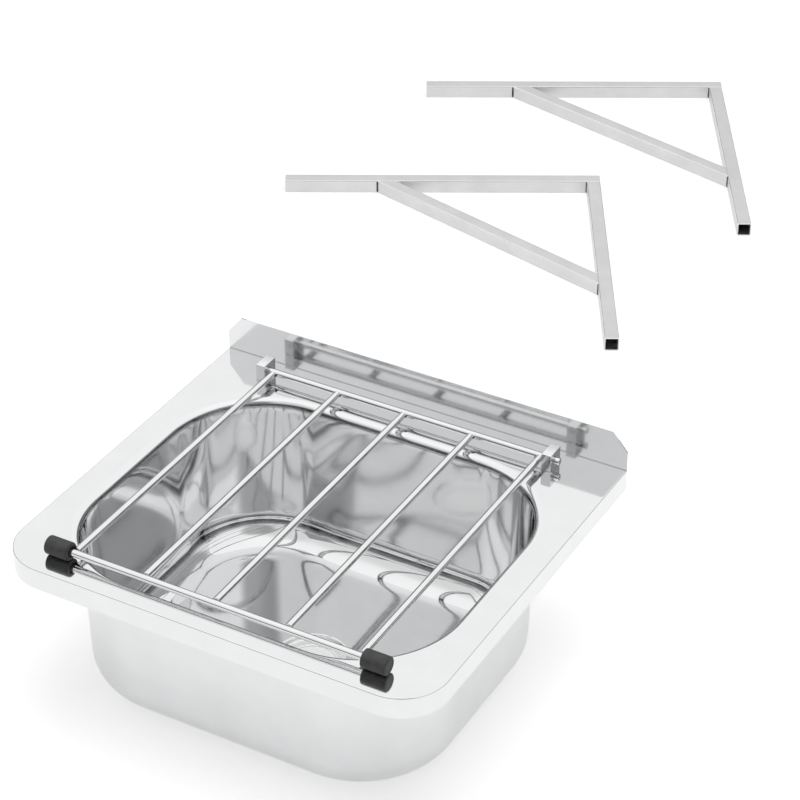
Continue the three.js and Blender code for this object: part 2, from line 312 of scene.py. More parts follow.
def make_grain():
    """Lines = noise on the UV map, stretched along one direction of the grid.

    Along and Across are cells per metre. Patches is a coarser noise in space, by which a
    finish varies its tone from place to place.
    """
    group, given, result = new_group(
        "metal grain", [("Along", 40.0), ("Across", 9000.0)], ["Lines", "Patches"])
    split = split_node(group, coordinates(group, "UV"))
    join = group.nodes.new("ShaderNodeCombineXYZ")
    for index, label in enumerate(("Across", "Along")):
        cells = math_node(group, "MULTIPLY", split[index], given.outputs[label])
        feed(group, cells, join.inputs[index])
    lines = noise_node(group, join.outputs[0], 1.0, detail=3.0, roughness=0.6)
    patches = noise_node(
        group, coordinates(group, "Object"), PATCHES_PER_METRE, detail=3.0, roughness=0.55)
    feed(group, lines, result.inputs["Lines"])
    feed(group, patches, result.inputs["Patches"])
    return group


METAL_GRAIN = make_grain()


# %% Group: a band between two heights
def make_height_band():
    """Band = 1 between two heights above the deck, in metres, fading at both ends.

    Each end is (distance past it) / Fade + 1/2, cut off at 0 and 1.
    """
    group, given, result = new_group(
        "height band", [("Low", 0.0), ("High", 1.0), ("Fade", 0.001)], ["Band"])
    z = split_node(group, coordinates(group, "Object"))["Z"]
    height = math_node(group, "SUBTRACT", z, SINK_ORIGIN[2])

    def past(a, b):
        distance = math_node(group, "SUBTRACT", a, b)
        steps = math_node(group, "DIVIDE", distance, given.outputs["Fade"])
        step = math_node(group, "MAXIMUM", math_node(group, "ADD", steps, 0.5), 0.0)
        return math_node(group, "MINIMUM", step, 1.0)

    above = past(height, given.outputs["Low"])
    below = past(given.outputs["High"], height)
    feed(group, math_node(group, "MULTIPLY", above, below), result.inputs["Band"])
    return group


HEIGHT_BAND = make_height_band()


# %% [markdown]
# ## Finishes
#
# A metal's colour in a render is mostly what it mirrors, so each steel here has a plain
# pale base colour and differs in roughness and in how its surface bends the light.

# %% Helpers for a finish
NOISE_RANGE = (0.3, 0.7)


def range_node(tree, value, limits, ends, easing="LINEAR"):
    """One Map Range node: the two limits of the value become the two ends."""
    node = tree.nodes.new("ShaderNodeMapRange")
    node.interpolation_type = easing
    for label, number in zip(("From Min", "From Max", "To Min", "To Max"), (*limits, *ends)):
        node.inputs[label].default_value = number
    feed(tree, value, node.inputs["Value"])
    return node.outputs["Result"]


def ramp(tree, noise, low, high):
    """Noise, which spends its time in NOISE_RANGE, spread over low..high."""
    return range_node(tree, noise, NOISE_RANGE, (low, high))


def mix_node(tree, factor, a, b):
    """A colour that goes from a to b; a is a colour or a socket, b is a colour."""
    node = tree.nodes.new("ShaderNodeMix")
    node.data_type = "RGBA"
    feed(tree, (*a, 1) if isinstance(a, tuple) else a, node.inputs["A"])
    node.inputs["B"].default_value = (*b, 1)
    feed(tree, factor, node.inputs["Factor"])
    return node.outputs["Result"]


def bump_node(tree, height, depth, normal=None):
    """A normal bent by height x depth, in metres, on top of another normal if given."""
    node = tree.nodes.new("ShaderNodeBump")
    node.inputs["Distance"].default_value = depth
    feed(tree, height, node.inputs["Height"])
    if normal is not None:
        feed(tree, normal, node.inputs["Normal"])
    return node.outputs["Normal"]


def place_group(tree, group, values):
    """A group node with its named inputs set."""
    node = tree.nodes.new("ShaderNodeGroup")
    node.node_tree = group
    for label, value in values.items():
        node.inputs[label].default_value = value
    return node


def new_material(name):
    """A material, its node tree and its Principled node."""
    material = bpy.data.materials.new(name)
    material.use_nodes = True
    return material, material.node_tree, material.node_tree.nodes["Principled BSDF"]


# %% Build one steel finish
def steel(name, tone, dull, roughness, grain, bands=(), waves=None, wave_depth=0.0, line_depth=0.0):
    """A Principled steel: its tone fades between two greys, roughness follows the grain.

    Each band (low, high, fade, tone or None, haze) changes the tone and adds roughness
    between two heights. Two Bump nodes in a row bend the normal: first the slow waves,
    then the fine lines, each with its depth in metres.
    """
    material, tree, surface = new_material(name)
    surface.inputs["Metallic"].default_value = 1.0
    lines = place_group(tree, METAL_GRAIN, grain)
    base = mix_node(tree, ramp(tree, lines.outputs["Patches"], 0, 1), dull, tone)
    rough = ramp(tree, lines.outputs["Lines"], *roughness)
    for low, high, fade, band_tone, haze in bands:
        node = place_group(tree, HEIGHT_BAND, {"Low": low, "High": high, "Fade": fade})
        band = node.outputs["Band"]
        if band_tone:
            base = mix_node(tree, band, base, band_tone)
        rough = math_node(tree, "ADD", rough, math_node(tree, "MULTIPLY", band, haze))
    feed(tree, base, surface.inputs["Base Color"])
    feed(tree, rough, surface.inputs["Roughness"])
    normal = None
    if waves:
        sheet = place_group(tree, SHEET_WAVES, {"Waves per metre": waves})
        normal = bump_node(tree, sheet.outputs["Height"], wave_depth)
    if line_depth:
        normal = bump_node(tree, lines.outputs["Lines"], line_depth, normal)
    if normal is not None:
        feed(tree, normal, surface.inputs["Normal"])
    return material


# %% [markdown]
# The heights of a band are in metres above the deck. The fold under the splashback is a
# dull dark line of painted shade in its crease, and the splashback is a little hazier than
# the deck. The bowl's rim is as bright as the deck, the lower half of its lip is a painted
# dark reflection, its walls are hazy from drawing and its outlet seat is left matt. The tops
# of the hinge blocks carry painted light, brighter than their sides, and the rounded top
# edges of the square tube carry a painted highlight.

# %% The bands
BRIGHT, PALE, DIM = (0.86, 0.865, 0.87), (0.83, 0.835, 0.84), (0.80, 0.805, 0.81)
BLOCK_TOP = (sink_box("hinge_block_left")[1][2] - 0.4) / MM
TUBE_TOP = sink_box("bracket_near_arm")[1][2] / MM

# Painted shade: a dull dark line toned into the crease of the fold under the splashback.
FOLD_PAINTED_SHADE = (0.0002, 0.0010, 0.0002, (0.40, 0.40, 0.405), 0.15)
SPLASHBACK = (0.002, 0.1, 0.003, PALE, 0.05)
BOWL_RIM = (-0.013, 0.1, 0.007, BRIGHT, 0.0)
BOWL_WALL = (-0.155, -0.013, 0.02, None, 0.05)
# Painted reflection: the lower half of the bowl's lip toned dark, as the dark room it mirrors.
LIP_PAINTED_REFLECTION = (-0.0095, -0.0035, 0.002, (0.45, 0.455, 0.46), 0.02)
OUTLET_SEAT = (-0.2, -0.1855, 0.001, (0.93, 0.93, 0.935), 0.28)
# Painted light: the hinge blocks' top faces toned brighter than their sides, with a little haze.
PAINTED_LIGHT_ON_BLOCKS = (BLOCK_TOP, 0.1, 0.0002, (0.95, 0.95, 0.955), 0.10)
# Painted highlight: a bright, smoother line along the rounded top edges of the square tube.
PAINTED_TUBE_HIGHLIGHT = (TUBE_TOP - 0.0016, TUBE_TOP - 0.0003, 0.0002, (0.98, 0.98, 0.98), -0.25)

# %% The steel finishes of this object
SHEET_GRAIN = {"Along": 60.0, "Across": 2500.0}

polished_deck = steel(
    "polished deck", BRIGHT, PALE, (0.05, 0.10), SHEET_GRAIN,
    bands=[FOLD_PAINTED_SHADE, SPLASHBACK], waves=7.0, wave_depth=0.00025)
polished_bowl = steel(
    "polished bowl", PALE, DIM, (0.02, 0.05), SHEET_GRAIN,
    bands=[BOWL_RIM, BOWL_WALL, LIP_PAINTED_REFLECTION, OUTLET_SEAT], waves=8.0, wave_depth=0.0004)
polished_block = steel(
    "polished block", (0.70, 0.705, 0.71), (0.66, 0.665, 0.67), (0.12, 0.18),
    {"Along": 200.0, "Across": 4000.0}, bands=[PAINTED_LIGHT_ON_BLOCKS])
drawn_bar = steel(
    "drawn bar", (0.88, 0.885, 0.89), (0.84, 0.845, 0.85), (0.02, 0.05),
    {"Along": 60.0, "Across": 5000.0}, line_depth=0.000003)
satin_tube = steel(
    "satin tube", (0.78, 0.78, 0.78), (0.72, 0.72, 0.72), (0.34, 0.46),
    {"Along": 25.0, "Across": 3500.0}, bands=[PAINTED_TUBE_HIGHLIGHT], line_depth=0.000012)
# Weld toned very dark: partly the weld's own colour, partly painted shade in the joints.
weld_and_painted_shade = steel(
    "weld metal and painted shade", (0.10, 0.10, 0.10), (0.04, 0.04, 0.04), (0.35, 0.55),
    {"Along": 900.0, "Across": 900.0}, line_depth=0.00005)


# %% [markdown]
# Black rubber has a soft sheen and a fine moulded grain, and picks up a little dust, so
# its grey varies slowly and its bumps are tiny.

# %% Rubber
BLACK, DUSTY = (0.032, 0.032, 0.034), (0.056, 0.056, 0.058)
DUST_PER_METRE, MOULD_PER_METRE, MOULD_DEPTH = 120.0, 2600.0, 0.00006


def rubber():
    """Dark grey with slow patches, roughness around a half, bumps from fine noise."""
    material, tree, surface = new_material("black rubber")
    place = coordinates(tree, "Object")
    dust = ramp(tree, noise_node(tree, place, DUST_PER_METRE, detail=3.0), 0, 1)
    fine = noise_node(tree, place, MOULD_PER_METRE)
    feed(tree, mix_node(tree, dust, BLACK, DUSTY), surface.inputs["Base Color"])
    feed(tree, ramp(tree, fine, 0.42, 0.58), surface.inputs["Roughness"])
    feed(tree, bump_node(tree, fine, MOULD_DEPTH), surface.inputs["Normal"])
    return material


black_rubber = rubber()

# %% [markdown]
# ## The bowl
#
# The bowl is one pressing. Seen from above it is a rectangle with large round corners,
# and every level of it is the same figure drawn smaller: the corner centres stay put and
# only the radius shrinks. So a level needs one number, how far it lies inside the mouth,
# and a second for its depth. A list of those two numbers is the bowl's section.
#
# A box with bevels and a subdivision surface would come close, but its walls would bulge
# and mirror wrongly. The exact section gives exact reflections.

# %% The rounded rectangle that every level repeats
MOUTH = {"right": 221, "front": 20, "back": 397}
MOUTH_RADIUS = 118
CENTRE_Y = (MOUTH["front"] + MOUTH["back"]) / 2


def spine(corner_steps, side_steps):
    """Corner centres and outward directions of a rounded rectangle, as two N x 2 arrays.

    A point of any level is centre + radius x direction. Round a corner the direction
    turns, and along a side the centre walks to the next corner.
    """
    right = MOUTH["right"] - MOUTH_RADIUS
    front = MOUTH["front"] + MOUTH_RADIUS
    back = MOUTH["back"] - MOUTH_RADIUS
    corners = np.array([[right, front], [right, back], [-right, back], [-right, front]], float)
    starts = np.radians([-90, 0, 90, 180])
    turn = np.linspace(0, math.pi / 2, corner_steps + 1)
    walk = np.arange(1, side_steps)[:, None] / side_steps
    centres, angles = [], []
    for index in range(4):
        here, there = corners[index], corners[(index + 1) % 4]
        centres += [np.repeat(here[None], len(turn), 0), here + walk * (there - here)]
        angles += [starts[index] + turn, np.full(side_steps - 1, starts[index] + math.pi / 2)]
    angles = np.concatenate(angles)
    return np.concatenate(centres), np.stack([np.cos(angles), np.sin(angles)], axis=1)


CORNER_STEPS, SIDE_STEPS = 36, 14
CENTRES, OUTWARD = spine(CORNER_STEPS, SIDE_STEPS)


def level(inset, drop):
    """One level of the bowl: the mouth moved inwards by inset, drop below the deck."""
    flat = CENTRES + (MOUTH_RADIUS - inset) * OUTWARD
    return np.column_stack([flat, np.full(len(flat), -drop)])


print("points round the bowl:", len(CENTRES))

# %% [markdown]
# The section starts with a millimetre of flat, turns down over the lip, runs down the
# wall at a slight draft, turns into the floor and then falls into the outlet seat. Each
# bend is an arc, and the wall's second skin is the same line moved along its normal by
# the thickness of the sheet.

# %% The bowl's section
LIP, DRAFT, FLOOR_BEND, DEPTH = 8.0, math.radians(1.4), 38.0, 184.0
RIM_FLAT = 1
LIP_ROWS, WALL_ROWS, BEND_ROWS = 15, 16, 25


def bowl_section():
    """Inset, drop and facing angle down the inside: arcs and straights, as N x 3.

    The angle is 0 where the surface looks up and 90 degrees where it looks inwards. On
    the lip inset = R sin a and drop = R (1 - cos a); the floor bend is the reverse.
    """
    steep = math.pi / 2 - DRAFT
    a = np.linspace(0, steep, LIP_ROWS)
    lip = np.column_stack([LIP * np.sin(a), LIP * (1 - np.cos(a)), a])
    lip_inset, lip_drop = lip[-1, :2]
    wall_end = DEPTH - FLOOR_BEND * (1 - math.cos(steep))
    drop = np.linspace(lip_drop, wall_end, WALL_ROWS)
    inset = lip_inset + (drop - lip_drop) * math.tan(DRAFT)
    wall = np.column_stack([inset, drop, np.full(WALL_ROWS, steep)])
    b = np.linspace(steep, 0, BEND_ROWS)
    bend_inset = inset[-1] + FLOOR_BEND * (math.sin(steep) - np.sin(b))
    bend = np.column_stack([bend_inset, DEPTH - FLOOR_BEND * (1 - np.cos(b)), b])
    return np.concatenate([[[-RIM_FLAT, 0, 0]], lip, wall[1:], bend[1:]])


SECTION = bowl_section()
print("bowl section:", len(SECTION), "levels")

# %% [markdown]
# The floor runs from the last bend to a circle round the outlet, so its rows blend from
# the rounded rectangle to the circle. The outlet seat is a shallow step pressed down, and
# the cut edge of the sheet is the rim of the hole in it.

# %% The floor and the outlet seat
SEAT_RADIUS, SEAT_DROP, HOLE_RADIUS = 40.0, 4.5, 26.0
STEP_START, STEP_WIDTH, STEP_ROWS = SEAT_RADIUS + 0.8, 4.5, 13
FLOOR_END, FLOOR_ROWS = SEAT_RADIUS + 2.5, 16
EDGE_ROUND, EDGE_ROWS = 0.3, 7
RING_START, RING_ROWS = SEAT_RADIUS - 5, 4


def around(radius, drop):
    """A circle round the outlet whose points face the same way as the bowl's levels."""
    start = CENTRES + (MOUTH_RADIUS - SECTION[-1, 0]) * OUTWARD - [0, CENTRE_Y]
    angle = np.unwrap(np.arctan2(start[:, 1], start[:, 0]))
    return np.column_stack([
        radius * np.cos(angle), CENTRE_Y + radius * np.sin(angle), np.full(len(angle), -drop)])


def step_section():
    """Radius and drop down the outlet's step: a smooth ease from floor to seat.

    The ease is a half cosine, drop = SEAT_DROP (1 - cos t) / 2, over the step's width.
    """
    t = np.linspace(0, math.pi, STEP_ROWS)
    radius = STEP_START - STEP_WIDTH * t / math.pi
    drop = DEPTH + SEAT_DROP * (1 - np.cos(t)) / 2
    return np.column_stack([radius, drop])


def floor_rows(offset):
    """Rows from the bend to the outlet, on the flat of the floor."""
    outer = level(SECTION[-1, 0], DEPTH + offset)
    inner = around(FLOOR_END, DEPTH + offset)
    t = np.linspace(0, 1, FLOOR_ROWS)[1:, None, None]
    return list(outer + t * (inner - outer))


def edge_rows():
    """The cut edge of the hole as a half round of the sheet's thickness."""
    t = np.linspace(0, math.pi, EDGE_ROWS)[1:-1]
    middle = DEPTH + SEAT_DROP + SHEET / 2
    return [
        around(HOLE_RADIUS + EDGE_ROUND * (1 - math.sin(s)), middle - SHEET / 2 * math.cos(s))
        for s in t]


# %% Skin the bowl
OUTER_STEP = 0.4


def make_bowl():
    """The inside from rim to hole, and the outside back up, as one closed skin.

    The outside is a sheet's thickness behind the inside, and its step is OUTER_STEP wider.
    """
    seat = DEPTH + SEAT_DROP
    ring = np.linspace(RING_START, HOLE_RADIUS + EDGE_ROUND, RING_ROWS)
    inside = [level(inset, drop) for inset, drop, _ in SECTION]
    inside += floor_rows(0)
    inside += [around(radius, drop) for radius, drop in step_section()]
    inside += [around(radius, seat) for radius in ring]
    outside = [
        level(inset - SHEET * math.sin(a), drop + SHEET * math.cos(a))
        for inset, drop, a in SECTION]
    outside += floor_rows(SHEET)
    outside += [around(radius + OUTER_STEP, drop + SHEET) for radius, drop in step_section()]
    outside += [around(radius, seat + SHEET) for radius in ring]
    rows = outside + edge_rows()[::-1] + inside[::-1]
    return make_piece("bowl_pressing", patch(np.array(rows)[:, ::-1], loop=True))


dress(make_bowl(), "sink", polished_bowl, ["bowl"])

# %% [markdown]
# ## The deck
#
# The deck, its folded edge and the splashback are one sheet. It is made here as three
# grids that share their border points and are merged: the flat between the bowl's mouth
# and the bends, the edge folded down round the front and sides, and the splashback
# folded up at the wall. A Solidify modifier then gives the sheet its thickness.
#
# BEND is the outer radius of the folded edge and FOLD the inner one at the splashback,
# whose chamfers start at its SHOULDER.

# %% The outline that the deck's flat ends on
DECK_CORNER, BEND, FOLD = 52.0, 1.5, 0.4
SKIRT = -sink_box("deck_skirt")[0][2]
SPLASH_FACE = WALL - SHEET
SHOULDER, CHAMFER = 23.0, 18.0
FOLD_START = SPLASH_FACE - FOLD


def deck_outline(inset, rear=FOLD_START):
    """The deck's outer line moved inwards, one point for each point of the bowl's mouth.

    Points that face a front corner go round its radius. Those that face a rear corner are
    shared between the side and the rear edge, so that one of them falls on the corner.
    """
    side = HALF_WIDTH - inset
    straight = HALF_WIDTH - DECK_CORNER
    radius = DECK_CORNER - inset
    turn = np.linspace(-math.pi / 2, 0, CORNER_STEPS + 1)
    front_right = np.column_stack([
        straight + radius * np.cos(turn), DECK_CORNER + radius * np.sin(turn)])
    front_left = (front_right * [-1, 1])[::-1]
    steps = SIDE_STEPS + CORNER_STEPS // 2
    up = DECK_CORNER + (rear - DECK_CORNER) * np.arange(1, steps + 1) / steps
    right = np.column_stack([np.full(steps, side), up])
    left = (right * [-1, 1])[::-1][1:]
    across = np.linspace(side, -side, SIDE_STEPS + CORNER_STEPS + 1)[1:]
    back = np.column_stack([across, np.full(len(across), rear)])
    along = np.linspace(-straight, straight, SIDE_STEPS + 1)[1:-1]
    front = np.column_stack([along, np.full(len(along), inset)])
    flat = np.concatenate([front_right, right, back, left, front_left, front])
    return np.column_stack([flat, np.zeros(len(flat))])


FLAT_EDGE = deck_outline(BEND)
RIGHT_CORNER = CORNER_STEPS + SIDE_STEPS + CORNER_STEPS // 2
LEFT_CORNER = RIGHT_CORNER + SIDE_STEPS + CORNER_STEPS
print("points round the deck:", len(FLAT_EDGE))

# %% [markdown]
# The flat's rows start a millimetre outside the mouth, where the bowl's piece ends. A row
# close to each border keeps the shading of the flat truly flat, because smooth shading
# blends the normals of a bend only as far as the next row.

# %% The flat, the folded edge and the splashback as grids
NEAR_BEND = 1.2
FLAT_ROWS, FOLD_ROWS, SKIRT_ROWS = 7, 9, 6
WALL_GAP = 0.1
SPLASH_ROWS = np.array([0.04, 0.3, 0.6, 0.97, 1.0])


def flat_grid():
    """Rows from the mouth to the bends: straight blends of two closed lines of points."""
    mouth, near_mouth = level(-RIM_FLAT, 0), level(-RIM_FLAT - 1, 0)
    near_edge = deck_outline(BEND + NEAR_BEND, FOLD_START - NEAR_BEND)
    t = np.linspace(0, 1, FLAT_ROWS)[:, None, None]
    return np.concatenate([[mouth], near_mouth + t * (near_edge - near_mouth), [FLAT_EDGE]])


def skirt_grid():
    """The edge folded down: a quarter round, then straight to the cut edge.

    On the bend inset = R (1 - sin a) and drop = R (1 - cos a). The columns run from one
    rear corner round the front to the other, with one more at each end, WALL_GAP short of
    the wall.
    """
    order = np.r_[LEFT_CORNER:len(FLAT_EDGE), 0:RIGHT_CORNER + 1]
    a = np.linspace(0, math.pi / 2, FOLD_ROWS)
    drops = np.concatenate([BEND * (1 - np.cos(a)), np.linspace(BEND + 1, SKIRT, SKIRT_ROWS)])
    insets = np.concatenate([BEND * (1 - np.sin(a)), np.zeros(SKIRT_ROWS)])
    rows = np.array([
        deck_outline(inset)[order] - [0, 0, drop] for inset, drop in zip(insets, drops)])
    ends = rows[:, [0, -1]].copy()
    ends[:, :, 1] = WALL - WALL_GAP
    return np.concatenate([ends[:, :1], rows, ends[:, 1:]], axis=1)


def splash_grid():
    """The splashback: a quarter round up from the flat, then straight to the top edge.

    Each column ends at the top edge or on the chamfer, whichever is lower, and the
    columns shift a little sideways in the fold so that one falls on each chamfer's end.
    SPLASH_ROWS are shares of a column's height.
    """
    base = FLAT_EDGE[RIGHT_CORNER:LEFT_CORNER + 1]
    half = np.concatenate([
        HALF_WIDTH - CHAMFER * np.array([0, 0.5, 1]),
        np.linspace(HALF_WIDTH - CHAMFER, 0, len(base) // 2 - 1)[1:]])
    x = np.concatenate([half, -half[::-1][1:]])
    rise = SPLASH_TOP - SHOULDER
    top = np.minimum(SPLASH_TOP, SHOULDER + (HALF_WIDTH - np.abs(x)) * rise / CHAMFER)
    a = np.linspace(0, math.pi / 2, FOLD_ROWS)[:, None]
    part = a / (math.pi / 2)
    bent = (FOLD_ROWS, len(x))
    fold = np.stack([
        base[:, 0] + part * (x - base[:, 0]),
        np.broadcast_to(FOLD_START + FOLD * np.sin(a), bent),
        np.broadcast_to(FOLD * (1 - np.cos(a)), bent)], axis=-1)
    upright = (len(SPLASH_ROWS), len(x))
    wall = np.stack([
        np.broadcast_to(x, upright),
        np.full(upright, SPLASH_FACE),
        FOLD + SPLASH_ROWS[:, None] * (top - FOLD)], axis=-1)
    return np.concatenate([fold, wall])


# %% Fold the deck
RIM_ZONE = 3


def at_mouth(middle):
    """True for the edges where the flat meets the bowl's rim, which lies flush with it."""
    x, y, _ = middle
    across = abs(x) < MOUTH["right"] + RIM_ZONE
    return across and MOUTH["front"] - RIM_ZONE < y < MOUTH["back"] + RIM_ZONE


def make_deck():
    """Weld the three grids into one sheet and give it thickness on its hidden side.

    The edge at the bowl's mouth stays sharp, so that no groove shows where they meet.
    """
    piece = make_piece(
        "folded_deck", patch(flat_grid()[:, ::-1]), patch(skirt_grid()[:, ::-1], ring=False),
        patch(splash_grid()[:, ::-1], ring=False), merge=True)
    thick = piece.modifiers.new("sheet thickness", "SOLIDIFY")
    thick.thickness = SHEET / MM
    thick.offset = -1
    thick.use_even_offset = True
    return round_edges(settle(piece), ROUNDING["sheet"], spared=at_mouth)


DECK_NODES = ["deck_top", "deck_skirt", "splashback"]
dress(make_deck(), "sink", polished_deck, DECK_NODES)

# %% [markdown]
# ## The grate
#
# Bars, rods and caps are all turned shapes: a profile of distances along an axis and
# radii, swept round that axis. Each bar is cut square and butts against both cross rods.
# At each end a tack weld holds it, which shows from above as a small dark bead on each
# side. The bead's very dark colour is partly the weld's own and partly painted shade for
# the gap at the joint.

# %% Sweep a profile round an axis
SEAM_WIDTH, SEAM_RADIUS = 0.01, 9
ROD_ROWS = 6


def turned(origin, axis, profile, columns=40, ridge=0.0):
    """Rows of rings: point = origin + along x axis + radius x (cos f p + sin f q).

    p, q and the axis are square to each other. ridge lifts two thin lines on opposite
    sides, where the halves of a mould met, wherever the radius is over SEAM_RADIUS.
    """
    axis = np.asarray(axis, dtype=float)
    q = np.array([0.0, 0.0, 1.0]) if abs(axis[2]) < 0.5 else np.array([1.0, 0.0, 0.0])
    p = np.cross(q, axis)
    f = np.linspace(0, 2 * math.pi, columns, endpoint=False)
    ring = np.cos(f)[:, None] * p + np.sin(f)[:, None] * q
    along, radius = np.asarray(profile, dtype=float).T
    line = ridge * (np.abs(np.sin(f)) < SEAM_WIDTH) * (radius > SEAM_RADIUS)[:, None]
    radii = (radius[:, None] + line)[..., None]
    return np.asarray(origin) + along[:, None, None] * axis + radii * ring


def rod_profile(length, radius, chamfer=0.6):
    """A straight rod with a small chamfer at both ends and a few rows between."""
    middle = np.linspace(chamfer, length - chamfer, ROD_ROWS)
    along = np.concatenate([[0], middle, [length]])
    radii = np.concatenate([[radius - chamfer], np.full(ROD_ROWS, radius), [radius - chamfer]])
    return np.column_stack([along, radii])


# %% The two cross rods
rod_low, rod_high = sink_box("grate_front_rod")
ROD = (rod_high[2] - rod_low[2]) / 2


def make_rod(name, node):
    """A cross rod in the place of its CAD node, along x."""
    low, high = sink_box(node)
    origin = [low[0], (low[1] + high[1]) / 2, (low[2] + high[2]) / 2]
    rows = turned(origin, [1, 0, 0], rod_profile(high[0] - low[0], ROD))
    return make_piece(name, patch(rows, caps=True))


for name, node in (("front_cross_rod", "grate_front_rod"), ("hinge_rod", "grate_hinge_rod")):
    dress(make_rod(name, node), "grate", drawn_bar, [node])

# %% The bars, cut square and tacked at their sides
TACK = {
    "reach": 1.9, "half_width": ROD + 1.1, "half_height": 2.2, "drop": 0.2, "back": 0.8,
    "tip": 0.12, "ripples": 5, "ripple": 0.08}
TACK_ROWS, TACK_COLUMNS = 13, 16
LEAN = {1: 0.7, 5: -0.7}


def tack(x, y, z, toward_bar):
    """A weld bead through a joint: a flat ellipsoid that stands out on both sides of the bar.

    With t from 0 to pi the ring at -cos t along y has the radius sin t, and its height
    ripples a little.
    """
    t = np.linspace(TACK["tip"], math.pi - TACK["tip"], TACK_ROWS)[:, None]
    f = np.linspace(0, 2 * math.pi, TACK_COLUMNS, endpoint=False)
    ripple = 1 + TACK["ripple"] * np.sin(TACK["ripples"] * t)
    grid = np.stack([
        x + TACK["half_width"] * np.sin(t) * np.sin(f),
        y + toward_bar * TACK["back"] - TACK["reach"] * np.cos(t) * np.ones_like(f),
        z - TACK["drop"] + TACK["half_height"] * np.sin(t) * np.cos(f) * ripple], axis=-1)
    return patch(grid, caps=True)


def make_bar(number):
    """A round bar between the cross rods, its ends square with a fine chamfer, and its tacks.

    An outer bar has no room for a bead between itself and its hinge block, so the rear
    bead leans inwards.
    """
    low, high = sink_box(f"grate_bar_{number}")
    x, z = (low[0] + high[0]) / 2, (low[2] + high[2]) / 2
    length = high[1] - low[1]
    rod = turned([x, low[1], z], [0, 1, 0], rod_profile(length, ROD, chamfer=0.35))
    bar = make_piece(f"round_bar_{number}", patch(rod, caps=True))
    return bar, [tack(x, low[1], z, 1), tack(x + LEAN.get(number, 0), high[1], z, -1)]


tacks = []
for number in range(1, 6):
    bar, bar_tacks = make_bar(number)
    dress(bar, "grate", drawn_bar, [f"grate_bar_{number}"])
    tacks += bar_tacks
# The tacks' dark colour is partly painted shade, for the gap where a bar meets a rod.
dress(make_piece("grate_tacks", *tacks), "grate", weld_and_painted_shade)

# %% [markdown]
# A rubber cap is a moulded cup pushed over each end of the front rod. Its mouth has a
# rounded lip and a recess round the rod, its closed end a shallow ring, and the mould
# left a fine line along both sides. The profile runs from deep in the cup out over the
# lip, along the side and over the closed end to its middle.

# %% The rubber caps
CAP = [
    (22.0, ROD + 0.02), (2.2, ROD + 0.02), (2.0, ROD + 0.3), (2.0, 5.2), (1.7, 5.6), (0.5, 5.8),
    (0.1, 6.1), (0, 6.6), (0, 8.7), (0.12, 9.2), (0.45, 9.65), (1.0, 9.93), (1.6, 10.0),
    (9.0, 10.0), (18.0, 10.0), (25.6, 10.0), (26.4, 9.9), (27.0, 9.6), (27.4, 9.1),
    (27.5, 8.5), (27.5, 7.5), (27.25, 7.2), (27.25, 6.9), (27.5, 6.6), (27.5, 0.3),
]

for side, node in ((-1, "grate_cap_left"), (1, "grate_cap_right")):
    low, high = sink_box(node)
    mouth_x = high[0] if side < 0 else low[0]
    origin = [mouth_x, (low[1] + high[1]) / 2, (low[2] + high[2]) / 2]
    grid = turned(origin, [side, 0, 0], CAP, columns=96, ridge=0.08)
    cap = make_piece("rubber_" + node.removeprefix("grate_"), patch(grid, caps=True))
    dress(cap, "grate", black_rubber, [node])

# %% [markdown]
# ## The hinge blocks
#
# Each block is a short piece of square bar with a drilled hole. Its end faces are made
# of quads between the hole and the outline, so the bevel that softens the edges runs
# cleanly round both.

# %% The blocks
BORE, RAYS = ROD + 0.5, 48
HINGE_CENTRE = sink_box("grate_hinge_rod")[0][1:] + ROD


def make_block(name, node):
    """A block with its bore: rays from the bore's centre meet the block's outline.

    A ray with direction (cos f, sin f) leaves a rectangle where the nearer of its two
    side distances is used up, and the rays to the four corners are among them.
    The block is let down onto the deck, where the CAD has a gap in place of its weld.
    """
    low, high = sink_box(node)
    low[2] = 0
    reach = np.array([low[1:] - HINGE_CENTRE, high[1:] - HINGE_CENTRE])
    corners = [math.atan2(reach[j][1], reach[i][0]) for i in (0, 1) for j in (0, 1)]
    f = np.unique(np.concatenate([np.linspace(-math.pi, math.pi, RAYS, endpoint=False), corners]))
    direction = np.round(np.stack([np.cos(f), np.sin(f)], axis=1), 9) + 0.0
    limit = np.where(direction >= 0, reach[1], reach[0])
    with np.errstate(divide="ignore"):
        outer = HINGE_CENTRE + direction * (limit / direction).min(axis=1)[:, None]
    bore = HINGE_CENTRE + direction * BORE
    rings = [(low[0], outer), (high[0], outer), (high[0], bore), (low[0], bore)]
    grid = np.array([np.column_stack([np.full(len(f), x), ring]) for x, ring in rings])
    return round_edges(make_piece(name, patch(grid, loop=True)), ROUNDING["block"])


for side in ("left", "right"):
    block = make_block(f"block_{side}", f"hinge_block_{side}")
    dress(block, "sink", polished_block, [f"hinge_block_{side}"])

# %% [markdown]
# ## The wall brackets
#
# Each bracket is a triangle of three square tubes. It is laid out with its outer corner
# at the origin, the arm along -x and the leg along -y, and then turned and moved to where
# the CAD model has it.

# %% The brackets' own frame
TUBE, WALL_THICKNESS = 19.0, 1.5
OUTER_CORNER, INNER_CORNER = 1.7, 0.9
TUBE_MARKS = np.array([0, 0.01, 0.25, 0.5, 0.75, 0.99, 1])
ARM, LEG = 444.0, 432.0
BRACE_ON_ARM, BRACE_ON_LEG = 295.0, 278.0
YAW = math.radians(29)


def turn_and_move(points, angle, x, y, z=0.0):
    """Turn points about the z axis by an angle, then move them."""
    turn = np.array([[math.cos(angle), -math.sin(angle)], [math.sin(angle), math.cos(angle)]])
    return np.concatenate([points[..., :2] @ turn.T + [x, y], points[..., 2:] + z], axis=-1)


